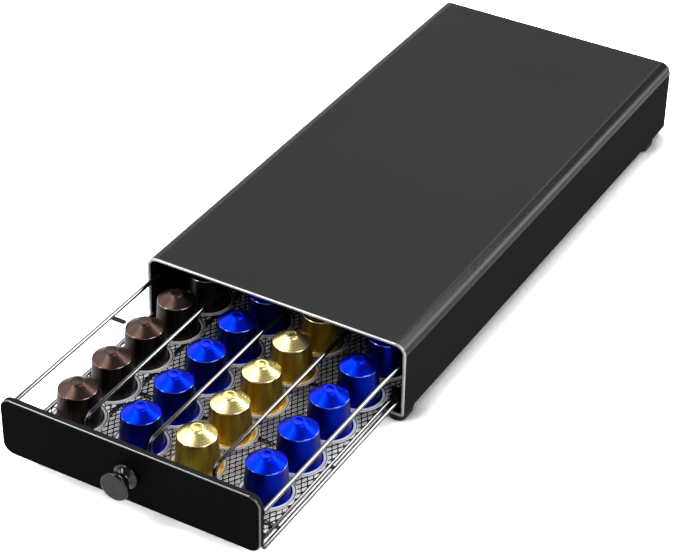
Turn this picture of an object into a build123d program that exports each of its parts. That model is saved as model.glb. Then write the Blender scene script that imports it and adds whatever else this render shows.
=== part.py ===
"""Pull-out drawer for coffee capsules: a low folded-steel sleeve that a machine can stand on,
and a wire drawer with a mesh floor, three lane dividers, a pressed front panel and a spool knob.

Millimetres, +Z up. The front faces -Y and +X is the right-hand side seen from the front.
The origin is under the middle of the whole object, on the surface that the feet stand on.
The drawer is modelled pulled out by PULL_OUT, the place in which it rests.
"""
from build123d import *
import math
import os

ON_BASE = (Align.CENTER, Align.CENTER, Align.MIN)

# ---- sleeve (the housing) -------------------------------------------------------------------
HOUSING_WIDTH = 196.0
HOUSING_LENGTH = 420.5
HOUSING_HEIGHT = 56.7          # underside of the bottom flanges to the top face
SHEET = 1.2
TOP_BEND_RADIUS = 8.0          # outside radius of the two long top bends
FLANGE_BEND_RADIUS = 2.6       # outside radius of the two long bottom bends
FLANGE_WIDTH = 15.0            # how far the bottom flanges turn in
HEM_DEPTH = 7.0                # the front edge is folded back on itself this far
HEM_THICKNESS = 1.0
HEM_ROUNDING = 0.9
SHARPEST_BEND = 0.3            # least inside radius of a folded edge

BACK_INSET = 2.0               # outer face of the back panel, inside the sleeve's rear edge
BACK_LIP = 9.0                 # forward lip all round the back panel
BACK_CLEARANCE = 0.1

# ---- feet -------------------------------------------------------------------------------------
FOOT_HEIGHT = 4.5
FOOT_WIDTH = 11.0
FOOT_LENGTH = 18.0
FOOT_END_FLAT = 1.0            # straight stretch between the rounded corners of each end
FOOT_TAPER = 8.0               # degrees, wider towards the sleeve
FOOT_SIDE_INSET = 6.6          # foot centre, inside the sleeve's side
FRONT_FOOT_INSET = 10.0        # foot centre, behind the front edge
REAR_FOOT_INSET = 26.0         # foot centre, ahead of the rear edge
FOOT_STEM_DIAMETER = 4.0
FOOT_STEM_CLEARANCE = 0.1
FOOT_BARB_DIAMETER = 6.2
FOOT_BARB_HEIGHT = 1.6

# ---- runners inside the sleeve -----------------------------------------------------------------
RUNNER_WIDTH = 9.8
RUNNER_SHEET = 1.0
RUNNER_SETBACK = 2.0           # behind the folded front hem
RUNNING_CLEARANCE = 0.3
STOP_PLATE = 1.6
STOP_WIDTH = 6.2
STOP_SETBACK = 6.0             # behind the front end of the runners
STOP_TOP_GAP = 0.6             # below the top of the runners
HOOK_GAP_TO_RUNNER = 0.8
HOOK_GAP_TO_FLANGE = 1.0
STOP_GAP = 0.5                 # left between hook and stop with the drawer fully out

# ---- front panel and knob ------------------------------------------------------------------------
PULL_OUT = 167.0               # front face of the panel, ahead of the sleeve, as it rests
CLOSED_RECESS = 0.5            # front face of the panel, inside the sleeve, when shut
PANEL_SIDE_GAP = 2.15          # from the panel to the folded mouth of the sleeve, each side
PANEL_TOP_GAP = 2.9            # from the panel to the folded mouth of the sleeve
PANEL_BOTTOM = 9.6             # above the underside of the sleeve's flanges
PANEL_DEPTH = 4.4
PANEL_SHEET = 1.2
PANEL_CORNER_RADIUS = 8.0
PANEL_EDGE_ROUNDING = 0.7

KNOB_LENGTH = 13.6
KNOB_FRONT_DIAMETER = 19.8
KNOB_FRONT_THICKNESS = 3.6
KNOB_FRONT_BEVEL = 1.0
KNOB_REAR_DIAMETER = 17.4
KNOB_REAR_THICKNESS = 2.0
KNOB_REAR_BEVEL = 0.6
KNOB_NECK_DIAMETER = 10.4
WASHER_DIAMETER = 12.0
WASHER_THICKNESS = 0.8
SCREW_DIAMETER = 4.0
SCREW_HEAD_DIAMETER = 7.0
SCREW_HEAD_HEIGHT = 2.2
SCREW_HEAD_ROUNDING = 0.8
SCREW_SLOT_LENGTH = 4.8
SCREW_SLOT_WIDTH = 1.0
SCREW_SLOT_DEPTH = 1.0
SCREW_LENGTH = 11.0
SCREW_CLEARANCE = 0.1

# ---- wire drawer -----------------------------------------------------------------------------------
LANES = 4
FRAME_SIDE_GAP = 1.3           # from the side wires to the folded mouth of the sleeve
FRAME_WIRE = 3.0               # side, rear and base wires
CROSS_WIRE = 2.8
DIVIDER_WIRE = 2.8
UPPER_WIRE_DROP = 12.1         # centre of the upper wires, below the panel's top edge
REAR_POST_INSET = 12.0         # inside the side wires
DIVIDER_BEND_RADIUS = 6.0
DIVIDER_SETBACK = 24.5         # front leg of the dividers, behind the panel's front face
REAR_GAP = 1.0                 # between the shut drawer and the back panel
BASE_WIRE_SPREAD = 117.0       # between the two base wires under the floor
BASE_WIRE_BOTTOM = 7.2         # above the underside of the sleeve's flanges
CROSS_WIRES = 6
HOOK_CROSS_WIRE = 5            # the cross wire, counted from the front, that carries the hooks

MESH_SHEET = 1.0
MESH_MARGIN = 3.0              # plain border of the mesh, outside the outermost diamonds
MESH_CELLS = 8                 # diamond cells across the drawer
MESH_STRAND = 2.0
MESH_GAP = 0.2                 # between the mesh and the lower wires
RIM_WIRE = 2.0
RIM_CORNER_RADIUS = 6.0

TAB_LENGTH = 10.5
TAB_WIDTH = 4.0
TAB_SHEET = 1.2
TAB_SETBACK = 115.0            # behind the panel's front face

# ---- capsules ------------------------------------------------------------------------------------------
CAPSULE_RIM_DIAMETER = 37.0
CAPSULE_HEIGHT = 30.0
CAPSULE_RIM_THICKNESS = 1.1
CAPSULE_BASE_DIAMETER = 31.2
CAPSULE_SHOULDER_DIAMETER = 25.6
CAPSULE_SHOULDER_DROP = 5.9    # from the crown down to the shoulder
CAPSULE_CROWN_DIAMETER = 9.8
CAPSULE_DIMPLE_DIAMETER = 4.4
CAPSULE_DIMPLE_DEPTH = 0.8
CAPSULE_DIMPLE_SLOPE = 0.5     # how far the dimple's wall leans in
CAPSULE_WALL = 0.55
LID_THICKNESS = 0.2
CAPSULE_GAP = 0.2              # between the rims in a lane
CAPSULES_PER_LANE = 5
CAPSULE_SETBACK = 46.0         # centre of the first capsule, behind the panel's front face
CAPSULE_LANE_PLACE = (-0.2, 0.46, -0.63, 0.64)   # in each lane: 0 its middle, 1 against its right side

# ---- places that follow from the sizes -------------------------------------------------------------------
KNOB_REACH = WASHER_THICKNESS + KNOB_LENGTH
HOUSING_FRONT = (PULL_OUT + KNOB_REACH - HOUSING_LENGTH) / 2
HOUSING_REAR = HOUSING_FRONT + HOUSING_LENGTH
FLANGE_BOTTOM = FOOT_HEIGHT
FLANGE_TOP = FLANGE_BOTTOM + SHEET
HOUSING_TOP = FLANGE_BOTTOM + HOUSING_HEIGHT
INNER_HALF_WIDTH = HOUSING_WIDTH / 2 - SHEET
MOUTH_HALF_WIDTH = INNER_HALF_WIDTH - HEM_THICKNESS
MOUTH_TOP = HOUSING_TOP - SHEET - HEM_THICKNESS

PANEL_FRONT = HOUSING_FRONT - PULL_OUT
PANEL_REAR = PANEL_FRONT + PANEL_DEPTH
PANEL_WIDTH = 2 * (MOUTH_HALF_WIDTH - PANEL_SIDE_GAP)
PANEL_TOP = MOUTH_TOP - PANEL_TOP_GAP
PANEL_HEIGHT = PANEL_TOP - FLANGE_BOTTOM - PANEL_BOTTOM
PANEL_MIDDLE_HEIGHT = PANEL_TOP - PANEL_HEIGHT / 2

BACK_FACE = HOUSING_REAR - BACK_INSET
BACK_INNER_FACE = BACK_FACE - SHEET
CLOSING_TRAVEL = PULL_OUT + CLOSED_RECESS
DRAWER_REAR = BACK_INNER_FACE - REAR_GAP - CLOSING_TRAVEL

FRAME_HALF_WIDTH = MOUTH_HALF_WIDTH - FRAME_SIDE_GAP - FRAME_WIRE / 2
LANE_WIDTH = 2 * FRAME_HALF_WIDTH / LANES
UPPER_WIRE_Z = PANEL_TOP - UPPER_WIRE_DROP
BASE_WIRE_Z = FLANGE_BOTTOM + BASE_WIRE_BOTTOM + FRAME_WIRE / 2
BASE_WIRE_TOP = BASE_WIRE_Z + FRAME_WIRE / 2
LOWER_WIRE_Z = BASE_WIRE_TOP + FRAME_WIRE / 2
CROSS_WIRE_Z = BASE_WIRE_TOP + CROSS_WIRE / 2
MESH_BOTTOM = CROSS_WIRE_Z + CROSS_WIRE / 2
MESH_TOP = MESH_BOTTOM + MESH_SHEET
FRAME_REAR_Y = DRAWER_REAR - FRAME_WIRE / 2
RUNNER_TOP = LOWER_WIRE_Z - FRAME_WIRE / 2 - RUNNING_CLEARANCE
RUNNER_FRONT = HOUSING_FRONT + HEM_DEPTH + RUNNER_SETBACK
RUNNER_REAR = BACK_FACE - BACK_LIP - SHEET
RUNNER_INNER_X = INNER_HALF_WIDTH - RUNNER_WIDTH

DIVIDER_FRONT_Y = PANEL_FRONT + DIVIDER_SETBACK
CROSS_WIRE_PITCH = (FRAME_REAR_Y - DIVIDER_FRONT_Y) / CROSS_WIRES
CAPSULE_PITCH = CAPSULE_RIM_DIAMETER + CAPSULE_GAP
STOP_Y = RUNNER_FRONT + STOP_SETBACK
HOOK_Y = DIVIDER_FRONT_Y + (HOOK_CROSS_WIRE - 1) * CROSS_WIRE_PITCH
OPENING_TRAVEL = HOOK_Y - STOP_Y - STOP_PLATE - STOP_GAP


def save(name, *solids):
    """Write one node, made of one solid or of several separate ones."""
    shape = solids[0] if len(solids) == 1 else Compound(children=list(solids))
    export_step(shape, os.path.join("parts", name + ".step"))


def block(x0, x1, y0, y1, z0, z1):
    """A box between two corners."""
    centre = Location(((x0 + x1) / 2, (y0 + y1) / 2, (z0 + z1) / 2))
    return centre * Box(abs(x1 - x0), abs(y1 - y0), abs(z1 - z0))


def rod(start, end, diameter):
    """A straight wire from start to end."""
    axis = Vector(*end) - Vector(*start)
    plane = Plane(origin=start, z_dir=axis)
    return extrude(plane * Circle(diameter / 2), axis.length)


def bent_wire(points, bend_radius, diameter):
    """A wire along straight runs with equal bends between them."""
    path = FilletPolyline(*points, radius=bend_radius)
    section = Plane(origin=path @ 0, z_dir=path % 0) * Circle(diameter / 2)
    return sweep(section, path=path)


def mirrored(solid):
    """The same piece on the left-hand side."""
    return solid.mirror(Plane.YZ)


# ---- sleeve ------------------------------------------------------------------------------------
def sleeve_block(inset, y0, y1):
    """The sleeve's outside shape, shrunk by inset, between two places along Y."""
    half = HOUSING_WIDTH / 2 - inset
    body = block(-half, half, y0, y1, FLANGE_BOTTOM + inset, HOUSING_TOP - inset)
    long_edges = body.edges().filter_by(Axis.Y).sort_by(Axis.Z)
    body = fillet(long_edges[2:], max(TOP_BEND_RADIUS - inset, SHARPEST_BEND))
    long_edges = body.edges().filter_by(Axis.Y).sort_by(Axis.Z)
    return fillet(long_edges[:2], max(FLANGE_BEND_RADIUS - inset, SHARPEST_BEND))


def housing_shell():
    hollow = sleeve_block(SHEET, HOUSING_FRONT + HEM_DEPTH, HOUSING_REAR)
    mouth = sleeve_block(SHEET + HEM_THICKNESS, HOUSING_FRONT, HOUSING_FRONT + HEM_DEPTH)
    slot_half = HOUSING_WIDTH / 2 - FLANGE_WIDTH
    slot = block(-slot_half, slot_half, HOUSING_FRONT, HOUSING_REAR, 0, FLANGE_TOP + HEM_THICKNESS)
    shell = sleeve_block(0, HOUSING_FRONT, HOUSING_REAR) - hollow - mouth - slot
    front_face = shell.faces().sort_by(Axis.Y)[0]
    shell = fillet(front_face.edges(), HEM_ROUNDING)
    for x, y in foot_places():
        hole = Cylinder(FOOT_STEM_DIAMETER / 2 + FOOT_STEM_CLEARANCE, 4 * SHEET)
        shell -= Pos(x, y, FLANGE_BOTTOM) * hole
    return shell


def back_panel():
    inset = SHEET + BACK_CLEARANCE
    outer = sleeve_block(inset, BACK_FACE - SHEET - BACK_LIP, BACK_FACE)
    inner = sleeve_block(inset + SHEET, BACK_FACE - SHEET - BACK_LIP, BACK_FACE - SHEET)
    return outer - inner


# ---- feet ------------------------------------------------------------------------------------------
def foot_places():
    x = HOUSING_WIDTH / 2 - FOOT_SIDE_INSET
    front = HOUSING_FRONT + FRONT_FOOT_INSET
    rear = HOUSING_REAR - REAR_FOOT_INSET
    return [(-x, front), (x, front), (-x, rear), (x, rear)]


def foot(x, y):
    """An oblong rubber foot with a barbed stem through the flange."""
    corner = (FOOT_WIDTH - FOOT_END_FLAT) / 2
    pad = extrude(RectangleRounded(FOOT_WIDTH, FOOT_LENGTH, corner), FOOT_HEIGHT, taper=-FOOT_TAPER)
    barb_bottom = FOOT_HEIGHT + SHEET
    stem = Cylinder(FOOT_STEM_DIAMETER / 2, barb_bottom + FOOT_BARB_HEIGHT, align=ON_BASE)
    barb = Cone(FOOT_BARB_DIAMETER / 2, FOOT_STEM_DIAMETER / 2, FOOT_BARB_HEIGHT, align=ON_BASE)
    return Pos(x, y, 0) * (pad + stem + Pos(0, 0, barb_bottom) * barb)


# ---- runners and stops ---------------------------------------------------------------------------------
def runner_right():
    """A channel, open below: one leg on the flange, a shorter one welded to the side wall."""
    y0 = RUNNER_FRONT
    y1 = RUNNER_REAR
    outer = block(RUNNER_INNER_X, INNER_HALF_WIDTH, y0, y1, FLANGE_TOP, RUNNER_TOP)
    inner_x = RUNNER_INNER_X + RUNNER_SHEET
    outer_x = INNER_HALF_WIDTH - RUNNER_SHEET
    inner = block(inner_x, outer_x, y0, y1, FLANGE_TOP, RUNNER_TOP - RUNNER_SHEET)
    over_bend = block(inner_x, INNER_HALF_WIDTH, y0, y1, FLANGE_TOP, FLANGE_BOTTOM + FLANGE_BEND_RADIUS)
    return outer - inner - over_bend


def stop_right():
    """An upright plate on the flange, welded to the inner leg of the runner."""
    inner_x = RUNNER_INNER_X - STOP_WIDTH
    top = RUNNER_TOP - STOP_TOP_GAP
    return block(inner_x, RUNNER_INNER_X, STOP_Y, STOP_Y + STOP_PLATE, FLANGE_TOP, top)


def hook_right():
    """A plate under a cross wire, which meets the stop when the drawer is fully out."""
    outer_x = RUNNER_INNER_X - HOOK_GAP_TO_RUNNER
    inner_x = outer_x - STOP_WIDTH + HOOK_GAP_TO_RUNNER
    bottom = FLANGE_TOP + HOOK_GAP_TO_FLANGE
    top = CROSS_WIRE_Z - CROSS_WIRE / 2
    return block(inner_x, outer_x, HOOK_Y, HOOK_Y + STOP_PLATE, bottom, top)


# ---- front panel and knob -------------------------------------------------------------------------------
def panel_block(inset, y0, y1):
    outline = RectangleRounded(
        PANEL_WIDTH - 2 * inset, PANEL_HEIGHT - 2 * inset, PANEL_CORNER_RADIUS - inset
    )
    plane = Plane(origin=(0, y1, PANEL_MIDDLE_HEIGHT), x_dir=(1, 0, 0), z_dir=(0, -1, 0))
    return extrude(plane * outline, y1 - y0)


def front_panel():
    """A pressed pan: a face with a lip folded back all round."""
    pan = panel_block(0, PANEL_FRONT, PANEL_REAR)
    front_face = pan.faces().sort_by(Axis.Y)[0]
    pan = fillet(front_face.edges(), PANEL_EDGE_ROUNDING)
    pan -= panel_block(PANEL_SHEET, PANEL_FRONT + PANEL_SHEET, PANEL_REAR)
    hole = SCREW_DIAMETER + 2 * SCREW_CLEARANCE
    front = (0, PANEL_FRONT, PANEL_MIDDLE_HEIGHT)
    return pan - rod(front, (0, PANEL_REAR, PANEL_MIDDLE_HEIGHT), hole)


def knob():
    """A spool: front disc, waisted neck and rear collar, bored for its screw."""
    base = PANEL_FRONT - WASHER_THICKNESS
    collar = KNOB_REAR_DIAMETER / 2
    disc = KNOB_FRONT_DIAMETER / 2
    neck = KNOB_NECK_DIAMETER / 2
    disc_back = KNOB_LENGTH - KNOB_FRONT_THICKNESS
    waist_middle = (KNOB_REAR_THICKNESS + disc_back) / 2
    rear = Polyline(
        (0, 0), (collar - KNOB_REAR_BEVEL, 0), (collar, -KNOB_REAR_BEVEL), (collar, -KNOB_REAR_THICKNESS)
    )
    waist = ThreePointArc(
        (collar, -KNOB_REAR_THICKNESS), (neck, -waist_middle), (disc, -disc_back)
    )
    front = Polyline(
        (disc, -disc_back),
        (disc, -KNOB_LENGTH + KNOB_FRONT_BEVEL),
        (disc - KNOB_FRONT_BEVEL, -KNOB_LENGTH),
        (0, -KNOB_LENGTH),
        (0, 0),
    )
    turned = revolve(make_face(rear + waist + front), Axis.Y)
    body = Pos(0, base, PANEL_MIDDLE_HEIGHT) * turned
    depth = SCREW_LENGTH - PANEL_SHEET - WASHER_THICKNESS + SCREW_CLEARANCE
    bore = rod(
        (0, base, PANEL_MIDDLE_HEIGHT),
        (0, base - depth, PANEL_MIDDLE_HEIGHT),
        SCREW_DIAMETER + 2 * SCREW_CLEARANCE,
    )
    return body - bore


def knob_washer():
    z = PANEL_MIDDLE_HEIGHT
    front = PANEL_FRONT - WASHER_THICKNESS
    disc = rod((0, PANEL_FRONT, z), (0, front, z), WASHER_DIAMETER)
    return disc - rod((0, PANEL_FRONT, z), (0, front, z), SCREW_DIAMETER + 2 * SCREW_CLEARANCE)


def knob_screw():
    z = PANEL_MIDDLE_HEIGHT
    seat = PANEL_FRONT + PANEL_SHEET
    shank = rod((0, seat, z), (0, seat - SCREW_LENGTH, z), SCREW_DIAMETER)
    head = rod((0, seat + SCREW_HEAD_HEIGHT, z), (0, seat, z), SCREW_HEAD_DIAMETER)
    head = fillet(head.faces().sort_by(Axis.Y)[-1].edges(), SCREW_HEAD_ROUNDING)
    back = seat + SCREW_HEAD_HEIGHT
    half_length = SCREW_SLOT_LENGTH / 2
    half_width = SCREW_SLOT_WIDTH / 2
    slot = block(-half_length, half_length, back - SCREW_SLOT_DEPTH, back, z - half_width, z + half_width)
    return shank + head - slot


# ---- wire drawer --------------------------------------------------------------------------------------------
def side_wire(x, z):
    """A wire along one side, from the panel's lip to the rear."""
    return rod((x, PANEL_REAR, z), (x, DRAWER_REAR, z), FRAME_WIRE)


def rear_wire(z):
    """A wire across the rear, welded in between the two side wires."""
    x = FRAME_HALF_WIDTH - FRAME_WIRE / 2
    return rod((-x, FRAME_REAR_Y, z), (x, FRAME_REAR_Y, z), FRAME_WIRE)


def rear_post(x):
    """An upright between the upper and the lower rear wire."""
    low = LOWER_WIRE_Z + FRAME_WIRE / 2
    high = UPPER_WIRE_Z - FRAME_WIRE / 2
    return rod((x, FRAME_REAR_Y, low), (x, FRAME_REAR_Y, high), FRAME_WIRE)


def divider_wire(x):
    """A wire that stands on the first cross wire and runs back to the upper rear wire."""
    foot_z = CROSS_WIRE_Z + CROSS_WIRE / 2
    points = [
        (x, DIVIDER_FRONT_Y, foot_z),
        (x, DIVIDER_FRONT_Y, UPPER_WIRE_Z),
        (x, FRAME_REAR_Y - FRAME_WIRE / 2, UPPER_WIRE_Z),
    ]
    return bent_wire(points, DIVIDER_BEND_RADIUS, DIVIDER_WIRE)


def cross_wire(index):
    y = DIVIDER_FRONT_Y + index * CROSS_WIRE_PITCH
    x = FRAME_HALF_WIDTH - FRAME_WIRE / 2
    return rod((-x, y, CROSS_WIRE_Z), (x, y, CROSS_WIRE_Z), CROSS_WIRE)


def base_wire(x):
    """A long wire under the cross wires, from the panel to the rear."""
    return rod((x, PANEL_REAR, BASE_WIRE_Z), (x, DRAWER_REAR, BASE_WIRE_Z), FRAME_WIRE)


def divider_places():
    return [(i + 1) * LANE_WIDTH - FRAME_HALF_WIDTH for i in range(LANES - 1)]


def mesh_half_width():
    return FRAME_HALF_WIDTH - FRAME_WIRE / 2 - MESH_GAP


def mesh_floor():
    """Expanded mesh: one sheet with diamond holes, and a round hole for each divider's leg."""
    half = mesh_half_width()
    front = PANEL_REAR + MESH_GAP
    rear = FRAME_REAR_Y - FRAME_WIRE / 2 - MESH_GAP
    width = 2 * half
    length = rear - front
    cell = (width - 2 * MESH_MARGIN) / MESH_CELLS
    hole_half = (cell - MESH_STRAND * math.sqrt(2)) / 2
    diamond = Polygon((hole_half, 0), (0, hole_half), (-hole_half, 0), (0, -hole_half))
    along = int((length - 2 * MESH_MARGIN) // cell)
    middle_y = (front + rear) / 2
    places = []
    for row in range(2 * along - 1):
        count = MESH_CELLS - row % 2
        y = (row - along + 1) * cell / 2
        for column in range(count):
            places.append(Location(((column - (count - 1) / 2) * cell, y)))
    legs = [Location((x, DIVIDER_FRONT_Y - middle_y)) for x in divider_places()]
    leg_hole = Circle(DIVIDER_WIRE / 2 + MESH_GAP)
    sheet = RectangleRounded(width, length, RIM_CORNER_RADIUS + RIM_WIRE / 2)
    sheet -= [place * diamond for place in places]
    sheet -= [place * leg_hole for place in legs]
    return extrude(Pos(0, middle_y, MESH_BOTTOM) * sheet, MESH_SHEET)


def mesh_rim():
    """A thin closed wire on the border of the mesh."""
    half = mesh_half_width() - RIM_WIRE / 2
    front = PANEL_REAR + MESH_GAP + RIM_WIRE / 2
    rear = FRAME_REAR_Y - FRAME_WIRE / 2 - MESH_GAP - RIM_WIRE / 2
    z = MESH_TOP + RIM_WIRE / 2
    outline = RectangleRounded(2 * half, rear - front, RIM_CORNER_RADIUS)
    path = Pos(0, (front + rear) / 2, z) * outline.wire()
    section = Plane(origin=path @ 0, z_dir=path % 0) * Circle(RIM_WIRE / 2)
    return sweep(section, path=path)


def side_tab():
    """A short flat tab that stands inwards from the left upper wire."""
    x = -FRAME_HALF_WIDTH + FRAME_WIRE / 2
    y = PANEL_FRONT + TAB_SETBACK
    z = UPPER_WIRE_Z
    return block(x, x + TAB_LENGTH, y, y + TAB_WIDTH, z - TAB_SHEET / 2, z + TAB_SHEET / 2)


# ---- capsules ---------------------------------------------------------------------------------------------------
def capsule():
    """A thin shell that stands on its rim, crown up, open below above z = LID_THICKNESS."""
    rim = CAPSULE_RIM_DIAMETER / 2
    base = CAPSULE_BASE_DIAMETER / 2
    shoulder = CAPSULE_SHOULDER_DIAMETER / 2
    crown = CAPSULE_CROWN_DIAMETER / 2
    dimple = CAPSULE_DIMPLE_DIAMETER / 2
    wall = CAPSULE_WALL
    rim_top = LID_THICKNESS + CAPSULE_RIM_THICKNESS
    shoulder_z = CAPSULE_HEIGHT - CAPSULE_SHOULDER_DROP
    dimple_z = CAPSULE_HEIGHT - CAPSULE_DIMPLE_DEPTH
    curl = CAPSULE_RIM_THICKNESS / 2
    bottom = Line((base - wall, LID_THICKNESS), (rim - curl, LID_THICKNESS))
    bead = ThreePointArc((rim - curl, LID_THICKNESS), (rim, LID_THICKNESS + curl), (rim - curl, rim_top))
    outside = Polyline(
        (rim - curl, rim_top),
        (base, rim_top),
        (shoulder, shoulder_z),
        (crown, CAPSULE_HEIGHT),
        (dimple, CAPSULE_HEIGHT),
        (dimple - CAPSULE_DIMPLE_SLOPE, dimple_z),
        (0, dimple_z),
    )
    inside = Polyline(
        (0, dimple_z),
        (0, dimple_z - wall),
        (dimple, dimple_z - wall),
        (crown, CAPSULE_HEIGHT - 2 * wall),
        (shoulder - wall, shoulder_z - wall / 2),
        (base - wall, rim_top),
        (base - wall, LID_THICKNESS),
    )
    half_section = Plane.XZ * make_face(bottom + bead + outside + inside)
    return revolve(half_section, Axis.Z)


def lane_limits(lane):
    """A lane's sides at the floor: the lines of its dividers or, outside, the rim wire."""
    rim_inner = mesh_half_width() - RIM_WIRE
    left = lane * LANE_WIDTH - FRAME_HALF_WIDTH
    return max(left, -rim_inner), min(left + LANE_WIDTH, rim_inner)


def capsule_places(lane):
    left, right = lane_limits(lane)
    play = (right - left - CAPSULE_RIM_DIAMETER) / 2
    x = (left + right) / 2 + CAPSULE_LANE_PLACE[lane] * play
    first = PANEL_FRONT + CAPSULE_SETBACK
    return [Pos(x, first + row * CAPSULE_PITCH, MESH_TOP) for row in range(CAPSULES_PER_LANE)]


def lid():
    """A foil disc that closes a capsule below."""
    return Cylinder(CAPSULE_RIM_DIAMETER / 2 - CAPSULE_RIM_THICKNESS, LID_THICKNESS, align=ON_BASE)


# ---- write every node --------------------------------------------------------------------------------------------
os.makedirs("parts", exist_ok=True)

save("housing_shell", housing_shell())
save("back_panel", back_panel())
for name, place in zip(("front_left", "front_right", "rear_left", "rear_right"), foot_places()):
    save("foot_" + name, foot(*place))
save("runner_right", runner_right())
save("runner_left", mirrored(runner_right()))
save("stop_right", stop_right())
save("stop_left", mirrored(stop_right()))

save("front_panel", front_panel())
save("knob", knob())
save("knob_washer", knob_washer())
save("knob_screw", knob_screw())
for level, z in (("upper", UPPER_WIRE_Z), ("lower", LOWER_WIRE_Z)):
    save(f"{level}_side_wire_left", side_wire(-FRAME_HALF_WIDTH, z))
    save(f"{level}_side_wire_right", side_wire(FRAME_HALF_WIDTH, z))
    save(f"{level}_rear_wire", rear_wire(z))
for index, x in enumerate(divider_places()):
    save(f"divider_wire_{index + 1}", divider_wire(x))
for index in range(CROSS_WIRES):
    save(f"cross_wire_{index + 1}", cross_wire(index))
save("base_wire_left", base_wire(-BASE_WIRE_SPREAD / 2))
save("base_wire_right", base_wire(BASE_WIRE_SPREAD / 2))
save("rear_post_left", rear_post(-FRAME_HALF_WIDTH + REAR_POST_INSET))
save("rear_post_right", rear_post(FRAME_HALF_WIDTH - REAR_POST_INSET))
save("mesh_floor", mesh_floor())
save("mesh_rim", mesh_rim())
save("side_tab", side_tab())
save("hook_right", hook_right())
save("hook_left", mirrored(hook_right()))
for lane in range(LANES):
    places = capsule_places(lane)
    save(f"capsules_lane_{lane + 1}", *[place * capsule() for place in places])
    save(f"capsule_lids_lane_{lane + 1}", *[place * lid() for place in places])

print(f"drawer_slide: shut at {-CLOSING_TRAVEL:.2f}, fully out at {OPENING_TRAVEL:.2f} mm")
print(f"sleeve from y {HOUSING_FRONT:.2f} to {HOUSING_REAR:.2f}, panel front {PANEL_FRONT:.2f}")
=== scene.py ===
"""The looks of the coffee pod drawer, in metres, in the same frame as its solids.

-Y is the front, +X the right-hand side seen from the front, and the feet stand on z = 0.
"""
import math
import random

import bmesh
import bpy
from mathutils import Matrix, Vector


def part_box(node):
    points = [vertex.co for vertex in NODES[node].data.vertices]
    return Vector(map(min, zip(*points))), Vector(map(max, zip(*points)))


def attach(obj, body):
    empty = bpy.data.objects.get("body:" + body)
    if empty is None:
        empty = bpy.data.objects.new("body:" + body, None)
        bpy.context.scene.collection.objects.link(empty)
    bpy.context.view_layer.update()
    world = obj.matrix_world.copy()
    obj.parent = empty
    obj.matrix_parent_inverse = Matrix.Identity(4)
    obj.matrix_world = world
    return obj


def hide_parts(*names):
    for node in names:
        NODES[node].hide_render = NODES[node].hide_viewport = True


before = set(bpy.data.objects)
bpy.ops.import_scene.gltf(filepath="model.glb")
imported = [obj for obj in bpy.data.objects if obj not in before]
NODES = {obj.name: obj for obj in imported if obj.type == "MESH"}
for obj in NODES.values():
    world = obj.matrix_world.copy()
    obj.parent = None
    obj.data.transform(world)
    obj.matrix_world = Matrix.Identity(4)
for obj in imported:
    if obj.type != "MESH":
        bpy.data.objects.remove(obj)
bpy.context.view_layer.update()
HOUSING = "housing"
DRAWER = "drawer"
MM = 0.001

# ---- camera: where the photograph was taken from -----------------------------------------------
CAMERA_PLACE = (0.61872, -1.12753, 0.90829)
CAMERA_TARGET = (0.00198, -0.03591, 0.030)
CAMERA_ROLL = math.radians(1.06)
CAMERA_LENS = 119.5
CAMERA_SENSOR = 36.0
CAMERA_CLIP = (0.05, 50.0)


# ---- material helpers --------------------------------------------------------------------------
def new_material(name):
    """A new node material, its tree and its Principled shader."""
    material = bpy.data.materials.new(name)
    material.use_nodes = True
    return material, material.node_tree, material.node_tree.nodes["Principled BSDF"]


def noise(tree, scale, detail=2.0, stretch=(1, 1, 1), coordinates="Object"):
    """A noise texture over object or UV coordinates."""
    coords = tree.nodes.new("ShaderNodeTexCoord")
    mapping = tree.nodes.new("ShaderNodeMapping")
    mapping.inputs["Scale"].default_value = stretch
    texture = tree.nodes.new("ShaderNodeTexNoise")
    texture.inputs["Scale"].default_value = scale
    texture.inputs["Detail"].default_value = detail
    tree.links.new(coords.outputs[coordinates], mapping.inputs["Vector"])
    tree.links.new(mapping.outputs["Vector"], texture.inputs["Vector"])
    return texture.outputs["Fac"]


def ridges(tree, count):
    """A wave that runs count times round a turned piece, from the U of its UVs."""
    coords = tree.nodes.new("ShaderNodeTexCoord")
    split = tree.nodes.new("ShaderNodeSeparateXYZ")
    turn = tree.nodes.new("ShaderNodeMath")
    turn.operation = "MULTIPLY"
    turn.inputs[1].default_value = 2 * math.pi * count
    wave = tree.nodes.new("ShaderNodeMath")
    wave.operation = "SINE"
    tree.links.new(coords.outputs["UV"], split.inputs["Vector"])
    tree.links.new(split.outputs["X"], turn.inputs[0])
    tree.links.new(turn.outputs["Value"], wave.inputs[0])
    return wave.outputs["Value"]


def map_range(tree, value, low, high, start=0.3, end=0.7):
    """value taken from start..end to low..high."""
    node = tree.nodes.new("ShaderNodeMapRange")
    tree.links.new(value, node.inputs["Value"])
    node.inputs["From Min"].default_value = start
    node.inputs["From Max"].default_value = end
    node.inputs["To Min"].default_value = low
    node.inputs["To Max"].default_value = high
    return node.outputs["Result"]


def mix_colours(tree, factor, low, high):
    """The colour between low and high at factor."""
    node = tree.nodes.new("ShaderNodeMix")
    node.data_type = "RGBA"
    node.inputs["A"].default_value = (*low, 1)
    node.inputs["B"].default_value = (*high, 1)
    tree.links.new(factor, node.inputs["Factor"])
    return node.outputs["Result"]


def bump(tree, shader, height, distance, strength=1.0, before=None):
    """Bump the shader's normal by a height; before chains another bump's normal."""
    node = tree.nodes.new("ShaderNodeBump")
    node.inputs["Distance"].default_value = distance
    node.inputs["Strength"].default_value = strength
    tree.links.new(height, node.inputs["Height"])
    if before is not None:
        tree.links.new(before, node.inputs["Normal"])
    tree.links.new(node.outputs["Normal"], shader.inputs["Normal"])
    return node.outputs["Normal"]


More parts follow.
